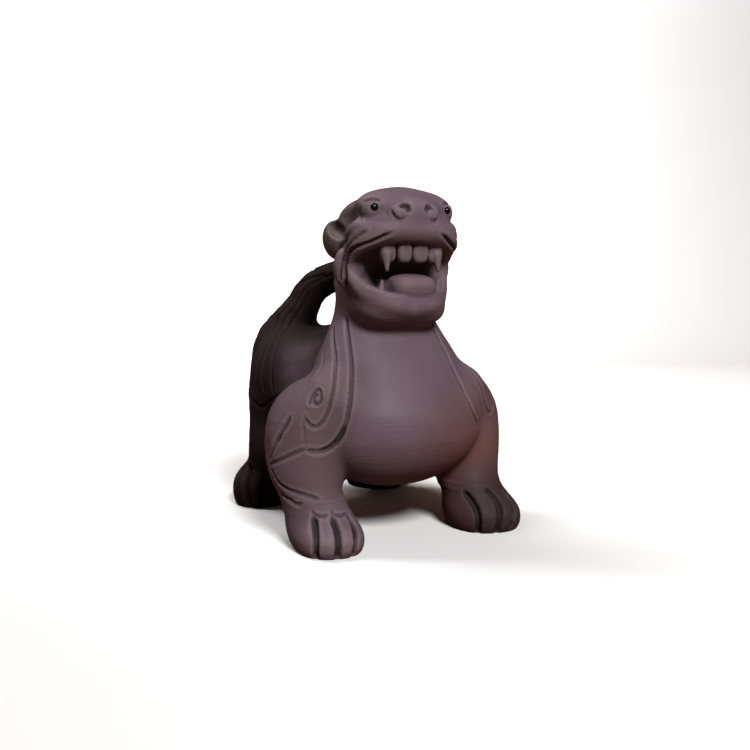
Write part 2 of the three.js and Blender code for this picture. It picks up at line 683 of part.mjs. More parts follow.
const slab = 2 * FIGURE_HEIGHT;
const table = new THREE.BoxGeometry(slab, slab, slab).translate(0, 0, -slab / 2);
figure = figure.subtract(solidFromGeometry(table));
for (const side of [-1, 1]) {
  const socket = new THREE.SphereGeometry(beadRadius + EYE_BEAD_CLEARANCE, 14, 10);
  socket.translate(side * beadCentre[0], beadCentre[1], beadCentre[2]);
  figure = figure.subtract(solidFromGeometry(socket));
}

const group = new THREE.Group();
group.name = 'pixiu_figure';
group.add(meshOf(figure, 'figure', CLAY));
for (const [side, name] of [[-1, 'eye_right'], [1, 'eye_left']]) {
  const bead = new THREE.SphereGeometry(beadRadius, 12, 8);
  bead.translate(side * beadCentre[0], beadCentre[1], beadCentre[2]);
  group.add(meshOf(solidFromGeometry(bead), name, BEAD));
}
const closing = new THREE.Box3().setFromObject(group);
const shift = closing.getCenter(new THREE.Vector3());
for (const mesh of group.children) mesh.geometry.translate(-shift.x, -shift.y, -closing.min.z);
export default group;
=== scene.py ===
import json
import math
from collections import namedtuple

import bpy
import numpy as np
from mathutils import Matrix, Vector

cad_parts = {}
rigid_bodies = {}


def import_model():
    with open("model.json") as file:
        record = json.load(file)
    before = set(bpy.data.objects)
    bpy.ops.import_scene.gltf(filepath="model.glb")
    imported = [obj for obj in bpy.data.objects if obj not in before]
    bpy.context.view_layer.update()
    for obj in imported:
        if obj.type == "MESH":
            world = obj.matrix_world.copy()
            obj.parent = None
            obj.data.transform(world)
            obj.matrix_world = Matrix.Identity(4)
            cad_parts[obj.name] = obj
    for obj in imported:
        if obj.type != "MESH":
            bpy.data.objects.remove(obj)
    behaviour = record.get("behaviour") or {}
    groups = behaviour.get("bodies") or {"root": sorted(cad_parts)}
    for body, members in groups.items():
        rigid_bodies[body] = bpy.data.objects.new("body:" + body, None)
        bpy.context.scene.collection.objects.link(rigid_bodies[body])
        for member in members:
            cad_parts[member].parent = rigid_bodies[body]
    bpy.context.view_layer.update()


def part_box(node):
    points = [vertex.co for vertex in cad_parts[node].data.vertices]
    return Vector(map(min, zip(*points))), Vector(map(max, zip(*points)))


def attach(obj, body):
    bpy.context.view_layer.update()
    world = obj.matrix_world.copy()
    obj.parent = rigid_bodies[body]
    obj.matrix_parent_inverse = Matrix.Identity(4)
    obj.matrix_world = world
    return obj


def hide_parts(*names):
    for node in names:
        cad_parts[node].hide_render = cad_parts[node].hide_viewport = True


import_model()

# The body of the beast
# One hollow piece of purple-brown clay, cast in a mould, dressed by hand with a wooden tool while it was
# leather-hard, and fired without a glaze. It is worked out in millimetres from the same forms as the part.
MM = 0.001
TINY = 1e-9
# The middle of the closing box, among the places used here
MIDDLE = (2.01, 10.339)
# Heights, and how far the body stands to its left there
LEAN = np.array([[0, 2.5], [14, 2], [30, 2.4], [46, 1.8], [66, 0.2]])


def lean_at(z):
    """How far the body stands to its left at a height."""
    index = np.clip(np.searchsorted(LEAN[:, 0], z), 1, len(LEAN) - 1)
    low, high = LEAN[index - 1], LEAN[index]
    share = np.clip((z - low[..., 0]) / (high[..., 0] - low[..., 0]), 0, 1)
    return low[..., 1] + (high[..., 1] - low[..., 1]) * share * share * (3 - 2 * share)


def lump(centre, radii, power=2.0, tilt=0.0, turn=0.0):
    """An egg shape, or a boxier one by its power, turned about X and then about Z."""
    centre, radii = np.array(centre, float), np.array(radii, float)

    def distance(places):
        off = places - centre
        across = off[:, 0] * math.cos(turn) + off[:, 1] * math.sin(turn)
        along = off[:, 1] * math.cos(turn) - off[:, 0] * math.sin(turn)
        forward = along * math.cos(tilt) + off[:, 2] * math.sin(tilt)
        upward = off[:, 2] * math.cos(tilt) - along * math.sin(tilt)
        shares = np.abs(np.column_stack([across, forward, upward])) / radii
        raised = shares ** (power - 1)
        total = np.maximum((shares * raised).sum(1), TINY)
        slope = total ** (1 / power - 1) * np.linalg.norm(raised / radii, axis=1)
        return (total ** (1 / power) - 1) / np.maximum(slope, TINY)

    return distance, centre, float(np.linalg.norm(radii))


def limb(points):
    """Round links between points given as x, y, z and radius."""
    points = np.array(points, float)

    def distance(places):
        nearest = np.full(len(places), np.inf)
        for start, end in zip(points, points[1:]):
            line = end[:3] - start[:3]
            share = np.clip((places - start[:3]) @ line / (line @ line), 0, 1)
            gap = np.linalg.norm(places - start[:3] - share[:, None] * line, axis=1)
            nearest = np.minimum(nearest, gap - start[3] - (end[3] - start[3]) * share)
        return nearest

    middle = (points[:, :3].min(0) + points[:, :3].max(0)) / 2
    reach = np.linalg.norm(points[:, :3] - middle, axis=1).max() + points[:, 3].max()
    return distance, middle, float(reach)


def smooth_path(points, count):
    """Evenly spaced points on a smooth curve through the given ones."""
    steps_between = 12
    points = np.array(points, float)
    points = np.vstack([2 * points[0] - points[1], points, 2 * points[-1] - points[-2]])
    t = np.linspace(0, 1, steps_between, endpoint=False)[:, None]
    path = []
    for a, b, c, d in zip(points, points[1:], points[2:], points[3:]):
        curve = 2 * b + (c - a) * t + (2 * a - 5 * b + 4 * c - d) * t * t
        path.append(0.5 * (curve + (3 * b - a - 3 * c + d) * t**3))
    path = np.vstack([*path, points[-2:-1]])
    along = np.concatenate([[0], np.cumsum(np.linalg.norm(np.diff(path[:, :3], axis=0), axis=1))])
    even = np.linspace(0, along[-1], count + 1)
    return np.column_stack([np.interp(even, along, column) for column in path.T])


def trunk(stations, power):
    """A standing trunk: height, y of the middle, half width and half depth from below upwards."""
    levels, corner_reach = 60, 1.3
    stations = smooth_path(stations, levels)

    def distance(places):
        z = places[:, 2]
        index = np.clip(np.searchsorted(stations[:, 0], z), 1, len(stations) - 1)
        low, high = stations[index - 1], stations[index]
        share = np.clip((z - low[:, 0]) / (high[:, 0] - low[:, 0]), 0, 1)[:, None]
        middle, width, depth = (low + (high - low) * share)[:, 1:].T
        shares = np.column_stack([np.abs(places[:, 0]) / width, np.abs(places[:, 1] - middle) / depth])
        raised = shares ** (power - 1)
        total = np.maximum((shares * raised).sum(1), TINY)
        slope = total ** (1 / power - 1) * np.hypot(raised[:, 0] / width, raised[:, 1] / depth)
        side = (total ** (1 / power) - 1) / np.maximum(slope, TINY)
        flare = (high[:, 2] - low[:, 2]) / (high[:, 0] - low[:, 0])
        return np.maximum(side / np.hypot(1, flare), np.maximum(stations[0, 0] - z, z - stations[-1, 0]))

    spine = np.column_stack([stations[:, 1] * 0, stations[:, 1], stations[:, 0]])
    middle = (spine.min(0) + spine.max(0)) / 2
    reach = np.linalg.norm(spine - middle, axis=1).max() + stations[:, 2:].max() * corner_reach
    return distance, middle, float(reach)


steps = []


def add(form, blend, single=False):
    """Clay put on, on both sides of the body unless it is single."""
    steps.append((*form, blend, single, False))


def cut(form, blend, single=False):
    """Clay taken away, in the same way."""
    steps.append((*form, blend, single, True))


def clay_at(points):
    """Distance from the clay's surface, negative inside."""
    far, spare = 1e3, 2
    place = points[:, 0] - lean_at(points[:, 2])
    mirrored = np.column_stack([np.abs(place), points[:, 1:]])
    own = np.column_stack([place, points[:, 1:]])
    clay = np.full(len(points), far)
    for distance, centre, reach, blend, single, cuts in steps:
        body = own if single else mirrored
        away = np.linalg.norm(body - centre, axis=1) - reach - blend - spare
        near = np.flatnonzero(away < np.maximum(0, -clay if cuts else clay))
        if not len(near):
            continue
        found = distance(body[near])
        other = -found if cuts else found
        here = clay[near]
        overlap = np.maximum(0, blend - np.abs(here - other)) / blend
        fillet = overlap * overlap * blend / 4
        clay[near] = np.maximum(here, other) + fillet if cuts else np.minimum(here, other) - fillet
    return clay


def slope_at(points, here):
    """The outward direction of the clay's surface near the points."""
    step = 0.05
    slope = np.column_stack([clay_at(points + np.eye(3)[axis] * step) - here for axis in range(3)])
    return slope / np.maximum(np.linalg.norm(slope, axis=1, keepdims=True), TINY)


def settle(points, limit):
    """The points moved onto the clay's surface, each by no more than the limit."""
    here = clay_at(points)
    return points - slope_at(points, here) * np.clip(here, -limit, limit)[:, None]


# Belly, chest and neck in one pear, then barrel and thighs. Each form's last number is its fillet.
NO_FILLET = 1e-3
PEAR = [[28 - 15.8 * math.sin(dip), -10 + 0.4 * math.cos(dip), 24.3 * math.cos(dip), 19.8 * math.cos(dip)]
        for dip in np.linspace(1.5, 0, 8)]
PEAR += [[33, -9.6, 23.9, 18.9], [38, -9, 22.6, 16.8], [45, -8.4, 20.4, 13.4], [52, -7.6, 16.7, 10.8],
         [58, -7.4, 13.6, 9.8], [65, -7, 11.8, 9.6]]
add(trunk(PEAR, power=2.1), NO_FILLET)
add(lump([0, 14, 35.5], [19, 30, 18.9], power=2.4), 5)
add(lump([13.8, 22.5, 37], [13.4, 18.5, 16]), 4)

# Arms and hind legs. The right elbow stands out further than the left one.
add(limb(smooth_path([[18.6, -12.6, 36, 8.2], [22.4, -7.4, 29, 11.1], [23.9, -9.6, 21, 9],
                      [24.2, -14, 13.5, 6], [23.2, -17, 7, 6.4]], 24)), 3)
add(limb(smooth_path([[-23, -8, 28, 10], [-25, -9, 21, 9], [-24.8, -11.6, 14, 7.3],
                      [-24.4, -13.4, 7.5, 7.2]], 18)), 4, single=True)
add(limb(smooth_path([[22, -10, 22, 8.6], [21.4, -13.8, 13, 7.4],
                      [21.3, -16.4, 7, 7.4]], 18)), 4, single=True)
add(limb(smooth_path([[17, 27, 30, 10], [20.4, 27, 18, 7], [18.8, 33, 8, 6.6]], 18)), 4)

# Paws like mittens with flat soles: place, turn, half length, half width, height. The toes are cut later.
PAWS = [[-22.9, -17.8, -0.2, 11.8, 8.9, 8.1], [23.5, -18.4, -0.2, 10.8, 9.8, 9.5],
        [-21.2, 33.6, -0.8, 10.8, 8.4, 12.2], [18.6, 37, 0.5, 10, 7.8, 11]]
for x, y, turn, long, wide, high in PAWS:
    add(lump([x, y, high / 3], [wide, long, high * 2 / 3], power=2.3, turn=turn), 4, single=True)

# The tail swings from the rump over the right haunch and forward to a tuft behind the nape
TAIL = np.array([[0, 42, 34, 8.5], [-8.5, 41.5, 40.5, 8.2], [-13.8, 34.8, 47.6, 7.4],
                 [-11.6, 29.4, 54.6, 5.8], [-8.4, 28.5, 59, 4.9], [-5.8, 27, 64, 4.6],
                 [-2.6, 23.8, 67, 4.5], [0, 18, 68.8, 4.2]])
add(lump([12, 33, 44], [9.5, 13, 8.5]), 6)
add(limb(smooth_path(TAIL, 16)), 4, single=True)
add(limb([[0, 2, 71, 3.9], [0, 18, 69.8, 3]]), 1)

# Head: skull, jaw, crown, brow and muzzle
add(lump([0, -3.4, 67.5], [10.8, 8.8, 9], power=2.2), 3)
add(lump([0, -13.6, 71], [12.6, 11.2, 15.6], power=2.5), 3)
add(lump([0, -13.6, 61.8], [13, 10.2, 7.4], power=3), 2)
add(lump([0, -17.4, 82.4], [12.2, 8.8, 7.4]), 2.5)
add(lump([5.6, -10.5, 80.8], [7.8, 7.2, 6.5]), 3)
add(lump([6.8, -19.4, 84.6], [6, 4.7, 3.5]), 2)
add(lump([0, -18, 78.6], [15, 8.6, 4.6], power=2.5), 1.6)
cut(lump([14.2, -14.6, 82], [2.6, 4.2, 3]), 2)

# Ears: a rolled leaf with a cup in its upper half and a lobe below
add(lump([12.6, -7, 76.8], [2.7, 6.2, 4.9], tilt=0.45, turn=-0.12), 1.2)
cut(lump([13.9, -9.6, 79.2], [1.7, 4.2, 1.9], tilt=0.45, turn=-0.12), 0.8)
cut(lump([14.6, -12.2, 74.6], [1.2, 1.6, 3], tilt=0.5, turn=-0.12), 0.6)

# Mouth: a deep hollow with shallow corners and a rolled lip above and below
cut(lump([0, -22.5, 69], [10.6, 11, 6.6], power=2.3), 1)
cut(lump([0, -22.8, 69.4], [15, 9.6, 5.8], power=2.4), 0.8)
add(limb(smooth_path([[0, -24.4, 78.9, 2.6], [6, -23.9, 78.5, 2.7], [11.6, -21, 76.5, 2.8],
                      [13.4, -17.6, 73.4, 2], [14, -15.6, 70, 1.1]], 18)), 1)
add(limb(smooth_path([[0, -22.2, 59.7, 2.6], [6, -21.6, 60.8, 2.6], [10.6, -18.8, 63.6, 2.2],
                      [12.9, -16.6, 67, 1.6], [14, -15.6, 70, 1.1]], 18)), 1.2)
add(lump([12.4, -13.6, 69.6], [4.1, 3.4, 5.6]), 1)

# Tongue, teeth and fangs
add(lump([1.7, -20.4, 64.8], [6.1, 4.6, 3.2], power=2.8, tilt=0.12), 0.5, single=True)
add(lump([0, -15, 64], [5.8, 8, 3]), 1)
for x, half in ((-6, 2), (-1.7, 1.95), (2.8, 2.2), (7.4, 2.1)):
    add(lump([x, -22.9 + abs(x) * 0.14, 73.7], [half, 1.5, 3], power=3.2), 0.12, single=True)
for x in (-6.6, 7.8):
    add(limb([[x, -22.6, 72.8, 1.4], [x * 1.02, -23.3, 68.8, 0.4]]), 0.3, single=True)
for x in (-7.8, 8.6):
    add(limb([[x, -21.6, 62.8, 1.3], [x * 0.98, -22.4, 66.2, 0.4]]), 0.3, single=True)

# Nose with its two wings, and the lids
add(lump([0, -24, 83], [4.6, 2.8, 3.4], power=2.3), 1.5)
add(lump([4.6, -24.4, 82.6], [2.4, 2.2, 2.3]), 0.8)
add(lump([9.5, -21.1, 83.4], [2.9, 2.6, 2.6]), 1.2)
add(lump([10.4, -21.7, 83.4], [2.1, 2.2, 2.2]), 0.8)


def clay_skin(pitch):
    """A net of vertices on the clay's surface, one in each small cube that it crosses, and its faces."""
    # Only blocks of cubes near the surface are worked out in full
    block, spare = 4, 1.7
    low, high = np.array([-36.0, -36.0, -2.0]), np.array([40.0, 56.0, 93.0])
    counts = np.ceil((high - low) / pitch / block).astype(int) * block
    axes = []
    for start, count in zip(low, counts // block):
        axes.append(start + (np.arange(count) * block + (block - 1) / 2) * pitch)
    middles = np.stack(np.meshgrid(*axes, indexing="ij"), -1).reshape(-1, 3)
    rough = clay_at(middles)
    near = np.flatnonzero(np.abs(rough) < pitch * block / 2 * math.sqrt(3) * spare)
    values = rough.reshape(counts // block)
    for axis in range(3):
        values = np.repeat(values, block, axis)
    inner = np.stack(np.meshgrid(*[np.arange(block)] * 3, indexing="ij"), -1).reshape(-1, 3)
    corner = np.stack(np.unravel_index(near, counts // block), 1) * block
    cells = (corner[:, None, :] + inner).reshape(-1, 3)
    values[tuple(cells.T)] = clay_at(low + cells * pitch)

    # Where the clay would touch itself only along an edge, one of the places between is made clay
    just_inside = -1e-3
    flat = values.reshape(-1)
    strides = np.array([counts[1] * counts[2], counts[2], 1])
    mended = True
    while mended:
        mended = False
        inside = flat < 0
        for one, two in ((strides[1], strides[2]), (strides[2], strides[0]), (strides[0], strides[1])):
            end = len(flat) - one - two
            a, b, c, d = inside[:end], inside[one:one + end], inside[two:two + end], inside[one + two:]
            crossed = np.flatnonzero((a == d) & (a != b) & (a != c))
            if len(crossed):
                flat[np.where(inside[crossed], crossed + one, crossed)] = just_inside
                mended = True

    # A cube is crossed when some of its corners lie in the clay. Its vertex is the middle of the crossings.
    inside = (values < 0).astype(np.int8)
    pairs = inside[:-1] + inside[1:]
    fours = pairs[:, :-1] + pairs[:, 1:]
    corners = fours[:, :, :-1] + fours[:, :, 1:]
    cell = np.stack(np.nonzero((corners > 0) & (corners < 8)), 1)
    at = cell @ strides
    total = np.zeros((len(at), 3))
    crossings = np.zeros(len(at))
    for axis in range(3):
        others = [(axis + 1) % 3, (axis + 2) % 3]
        for one in (0, 1):
            for two in (0, 1):
                start = at + one * strides[others[0]] + two * strides[others[1]]
                here, there = flat[start], flat[start + strides[axis]]
                crossed = (here < 0) != (there < 0)
                share = np.where(crossed, here / np.where(crossed, here - there, 1), 0)
                total[:, axis] += share
                total[:, others[0]] += one * crossed
                total[:, others[1]] += two * crossed
                crossings += crossed
    vertices = low + (cell + total / crossings[:, None]) * pitch
    vertices = settle(settle(vertices, pitch / 2), pitch / 2)

    # Four cubes around each crossed edge share a face
    number = np.full(len(flat), -1, np.int64)
    number[at] = np.arange(len(at))
    faces = []
    for axis in range(3):
        ahead, one, two = strides[axis], strides[(axis + 1) % 3], strides[(axis + 2) % 3]
        edge = np.flatnonzero((flat[:-ahead] < 0) != (flat[ahead:] < 0))
        quad = number[np.stack([edge, edge - one, edge - one - two, edge - two], 1)]
        quad = np.where((flat[edge] < 0)[:, None], quad, quad[:, ::-1])
        faces.append(quad[(quad >= 0).all(1)])
    return vertices, np.vstack(faces)


PITCH = 0.42
vertices, faces = clay_skin(PITCH * (1))
body_mesh = bpy.data.meshes.new("figure_clay")
body_mesh.from_pydata((vertices * MM).tolist(), [], faces.tolist())
body = bpy.data.objects.new("figure_clay", body_mesh)
bpy.context.collection.objects.link(body)

# Lines cut into the clay
# The maker drew them with a pointed wooden tool: the edges and loops of the chest panels, the muscle lines
# of the arms, the folds of the cheeks, the hair of haunch and tail and the lines between the toes.

# Rim is the clay that the tool raised beside the line, and fade the length over which it left the clay
Cut = namedtuple("Cut", "width depth rim fade")
TOE_CUT = Cut(width=2.1, depth=1.3, rim=0, fade=1.6)
DEEP_CUT = Cut(width=1.6, depth=1, rim=0, fade=1)
STROKE_CUT = Cut(width=1.6, depth=1, rim=0, fade=4.5)
EDGE_CUT = Cut(width=1.25, depth=0.65, rim=0.06, fade=1.2)
FOLD_CUT = Cut(width=1.3, depth=0.8, rim=0.05, fade=2.6)
PANEL_CUT = Cut(width=1.1, depth=0.5, rim=0.06, fade=1.4)
CURL_CUT = Cut(width=1, depth=0.5, rim=0.05, fade=0.8)
FINE_CUT = Cut(width=0.9, depth=0.22, rim=0, fade=1.5)
CUTS = (TOE_CUT, DEEP_CUT, STROKE_CUT, EDGE_CUT, FOLD_CUT, PANEL_CUT, CURL_CUT, FINE_CUT)
drawn = {size: [] for size in CUTS}


def draw(points, size, sides=(-1, 1)):
    """A line laid on the clay, on both sides of the body or on one, that leaves it at its ends."""
    steps_each, rounds, furthest = 6, 4, 2
    path = smooth_path(points, len(points) * steps_each)
    along = np.linspace(0, np.linalg.norm(np.diff(path, axis=0), axis=1).sum(), len(path))
    lift = np.sqrt(1 - np.clip(np.minimum(along, along[::-1]) / size.fade, 0, 1)) * size.width / 2
    for side in sides:
        line = path * [side, 1, 1]
        line[:, 0] += lean_at(line[:, 2])
        for _ in range(rounds):
            line = settle(line, furthest)
        drawn[size].append(line + slope_at(line, clay_at(line)) * lift[:, None])


# The chest panels. The right one ends in a tip at the elbow, the left one runs down behind the arm. Places
# are given for the beast's left and mirrored for its right, except where they are meant as they stand.
RIGHT, LEFT, AS_GIVEN = (-1,), (1,), (1,)
draw([[13.2, -11.5, 57.4], [13.5, -12.4, 54.7], [14.4, -14.7, 50.2], [15.2, -17.4, 45.4],
      [16.6, -20.1, 40.7], [18.2, -21.7, 35.8], [19.6, -21.6, 31.1], [20.9, -20.4, 27.5],
      [22.9, -19.2, 25.3], [25.9, -18.7, 24.6], [28.4, -17.8, 25.2]], EDGE_CUT, sides=RIGHT)
draw([[18.8, -21.8, 33.6], [19.6, -21.6, 31.1], [20.9, -20.4, 27.5], [22.9, -19.2, 25.3],
      [25.9, -18.7, 24.6], [27.8, -18, 25]], STROKE_CUT, sides=RIGHT)
draw([[10.3, -14.6, 56.6], [12.1, -17.9, 47.5], [13.5, -20.5, 42], [14.8, -22.8, 36.8], [16.6, -23.8, 31.8],
      [19.4, -21.9, 27.6]], DEEP_CUT, sides=LEFT)
draw([[15.6, -8, 55], [16.6, -10, 51.6], [17.5, -12.5, 48.4], [19, -15.9, 44.2], [20.8, -18.9, 40.8],
      [22.4, -19.8, 37], [23.6, -19.3, 33.4], [25.1, -18.7, 31.1], [26.7, -18.1, 30.8], [27.9, -17.3, 32],
      [28.2, -16.6, 33.5]], PANEL_CUT)
draw([[18.2, -8.4, 48.6], [18.8, -8.7, 48.2], [20.5, -11.1, 45.1], [22.8, -13.1, 43.1],
      [24.4, -13.6, 41.7]], FINE_CUT)

# A spiral in the right panel, and the muscle lines of the arms
run = np.linspace(0, 1, 24)
spread, angle = 1 - 0.8 * run, 9.6 * run - 0.6
across, upward = 25.1 + 2.3 * spread * np.cos(angle), 37.6 + 2.9 * spread * np.sin(angle)
draw(np.column_stack([across, np.full(len(run), -17.4), upward]), CURL_CUT, sides=RIGHT)
draw([[30.9, -14.5, 33.3], [32.3, -13.8, 30.6], [33.8, -12.1, 27.1], [34.6, -10.4, 23.6],
      [34.7, -8.8, 21.3]], EDGE_CUT)
draw([[32, -14, 31.2], [33.1, -13.1, 28.8], [34, -11.7, 26], [34.6, -10.4, 23.6]], STROKE_CUT, sides=RIGHT)
draw([[28.2, -16.6, 33.4], [28.5, -16.9, 30.5], [28.5, -17.5, 27.5], [28.4, -17.7, 25.6]], FINE_CUT,
     sides=RIGHT)
draw([[28.4, -17.8, 25.2], [28.8, -17.6, 25.2], [31.6, -15.7, 23.7], [33.6, -12.8, 21.9],
      [34.3, -8.2, 20.1]], PANEL_CUT, sides=RIGHT)
draw([[34.3, -9.7, 20.1], [33.9, -11, 18.6], [33, -12.9, 16.3], [31.5, -15.8, 15], [29, -18.8, 14.2],
      [25.7, -20.8, 13.1]], PANEL_CUT, sides=RIGHT)
draw([[32.9, -11.8, 14.8], [32.4, -13, 13.3], [31.7, -16, 12.4], [30.6, -17.9, 11.8], [29.2, -19.2, 12.4]],
     PANEL_CUT, sides=RIGHT)

# The folds of the cheeks, from the nose round the mouth corner and down the jaw
draw([[6.4, -26.6, 78.1], [8.6, -25.8, 76.9], [10.8, -24.3, 75.7], [13.2, -22.6, 74.7], [14.6, -20.5, 73.8],
      [15.2, -18.3, 72.3], [15.4, -17.3, 70.4], [15.5, -17, 68.4], [15.1, -16.4, 66], [13.4, -13.5, 63.5]],
     FOLD_CUT)
draw([[12.3, -24.1, 78.3], [13.5, -23.1, 77.6], [14.4, -21.9, 76.7], [15.3, -19.7, 75.2],
      [15.6, -16.9, 73.3], [16.2, -16.4, 71.1], [16.4, -16, 68.7], [15.7, -14.8, 65.8]], PANEL_CUT)
draw([[14.6, -17.4, 76], [13.6, -13, 74], [12.8, -10.4, 70], [12.4, -9, 65]], FINE_CUT)

# Hair: strands from the lower edge of each haunch, on the right one up into the tail, and a fold below them
STRANDS = 8
for side in (-1, 1):
    for strand in range(STRANDS):
        back = strand / (STRANDS - 1)
        bulge = math.sin(3 * back)
        path = [[side * (24.8 + 1.8 * bulge), 13 + 26 * back, 36 - 2 * bulge],
                [side * (21.6 + 3 * bulge), 16.3 + 22 * back, 45]]
        if side == 1:
            path.append([14, 24 + 16 * back, 50])
        else:
            for x, y, z, girth in TAIL[3:(8 if strand % 2 else 6)]:
                around = 2.8 * back - 1.1
                path.append([x - girth * math.cos(around), y + girth * math.sin(around), z])
        draw(path, PANEL_CUT, sides=AS_GIVEN)
draw([[26.6, 34, 37], [27, 28, 34.6], [26.7, 23.1, 31.9], [26, 20.4, 30.9], [25, 15.5, 33.2],
      [22.6, 9, 36.5], [20, 4, 39]], PANEL_CUT)

# The nostrils are commas over the wings of the nose, with a curl below. A crease lies over each eye.
draw([[4.9, -26.2, 83.8], [4.3, -26.1, 84.2], [3.5, -26.2, 84.3], [2.8, -26.5, 83.9], [2.6, -26.6, 83.2],
      [2.9, -26.6, 82.5]], DEEP_CUT)
draw([[6.7, -25.3, 83.4], [6.6, -25.6, 82.4], [6.1, -25.9, 81.6], [5.2, -26.3, 80.9], [4.2, -26.4, 80.9],
      [3.6, -26.5, 81.5]], CURL_CUT)
draw([[12.7, -21.1, 84.9], [12.1, -21.9, 85.4], [11.1, -22.7, 85.8], [9.8, -23.4, 85.7], [8.5, -24, 85.3]],
     PANEL_CUT)
draw([[12.8, -21.5, 84.6], [13, -20.9, 83.7], [12.6, -20.6, 82.5], [12.8, -20.8, 81.3], [13, -22.7, 80.2]],
     FINE_CUT)


def spot(paw, side, ahead, z):
    """A place on a paw, by its shares of the half width and the half length, and a height."""
    x, y, turn, long, wide, _ = paw
    side, ahead = side * wide, ahead * long
    return [x + math.cos(turn) * side + math.sin(turn) * ahead,
            y + math.sin(turn) * side - math.cos(turn) * ahead, z]


# The lines between the toes, from the knuckles to the sole, and the creases of the knuckles
for paw in PAWS[2:]:
    top = paw[-1]
    for gap in (-0.56, 0, 0.56):
        draw([spot(paw, gap * 0.9, 0.55, top), spot(paw, gap, 0.85, top * 0.75),
              spot(paw, gap * 1.06, 1, top * 0.45), spot(paw, gap, 0.95, 0.5)], TOE_CUT, sides=AS_GIVEN)
    knuckles = [spot(paw, -0.75, 0.35, top), spot(paw, 0, 0.6, top), spot(paw, 0.75, 0.35, top)]
    draw(knuckles, FINE_CUT, sides=AS_GIVEN)
FRONT_TOE_LINES = [
    [[-28, -21.6, 9.6], [-28.6, -23.6, 7.6], [-29.6, -26.2, 4.9], [-30, -26.6, 1.7], [-29.8, -26, -1]],
    [[-23.8, -23.6, 9.4], [-23.9, -25.8, 7.3], [-24.6, -28.4, 5], [-25.2, -29.2, 1.5], [-25.1, -28.6, -1]],
    [[-19.3, -22.3, 9.2], [-18.7, -24.6, 7], [-19.7, -27.9, 4.8], [-20.7, -29, 1.5], [-20.8, -28.6, -1]],
    [[15.6, -20.9, 10.8], [16.7, -24.9, 7.3], [16.4, -26.7, 4.1], [16.6, -26.2, 0.8], [16.8, -25.6, -1]],
    [[21.2, -23.2, 11.2], [22.9, -26.4, 8.1], [22, -29, 4.5], [21.4, -28.7, 1.4], [21.3, -28, -1]],
    [[26.2, -22.2, 10.7], [27.6, -26.1, 7.5], [27, -28.4, 5.2], [25.9, -29.1, 3], [25.4, -28.8, 0]]
]
for line in FRONT_TOE_LINES:
    draw(line, TOE_CUT, sides=AS_GIVEN)
draw([[-28, -20.8, 11.1], [-27.8, -21.7, 9.9], [-26.4, -22.8, 9.4], [-24.2, -23.3, 9.8]], PANEL_CUT,
     sides=AS_GIVEN)
draw([[-23.4, -22.4, 11], [-23.2, -23.4, 9.8], [-21.2, -23.5, 9.2], [-18.5, -21.9, 9.2]], PANEL_CUT,
     sides=AS_GIVEN)


